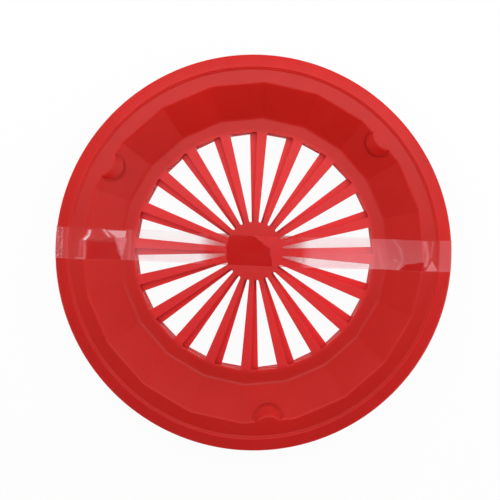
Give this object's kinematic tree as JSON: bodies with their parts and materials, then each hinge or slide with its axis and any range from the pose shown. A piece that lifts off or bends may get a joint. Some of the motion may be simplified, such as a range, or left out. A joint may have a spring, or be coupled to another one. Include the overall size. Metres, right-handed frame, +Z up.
{
  "type": "pack of paper plate holders",
  "caption": "Nested round paper plate holders of moulded plastic, with faceted wells, slotted bases and inward lugs, bound as a pack by a strip of clear tape.",
  "frame": {"origin": "on the table under the centre of the pack", "axes": "+Z up out of the top holder's well, +X along the tape to the right, +Y away from the viewer in the picture"},
  "size_m": [0.2614, 0.26, 0.0362],
  "materials": {
    "red_plastic": "satin moulded polypropylene",
    "clear_tape": "clear film, glossy"
  },
  "bodies": {
    "bottom_holder": {"holder_1_bottom": "red_plastic", "tape_under_run": "clear_tape"},
    "second_holder": {"holder_2": "red_plastic"},
    "third_holder": {"holder_3": "red_plastic"},
    "top_holder": {"holder_4_top": "red_plastic", "tape_top_run": "clear_tape"}
  },
  "joints": [
    {"name": "lift_second", "type": "slide", "parent": "bottom_holder", "child": "second_holder", "axis": [0, 0, 1], "range_m": [0, 0.05]},
    {"name": "lift_third", "type": "slide", "parent": "second_holder", "child": "third_holder", "axis": [0, 0, 1], "range_m": [0, 0.05]},
    {"name": "lift_top", "type": "slide", "parent": "third_holder", "child": "top_holder", "axis": [0, 0, 1], "range_m": [0, 0.05]}
  ]
}
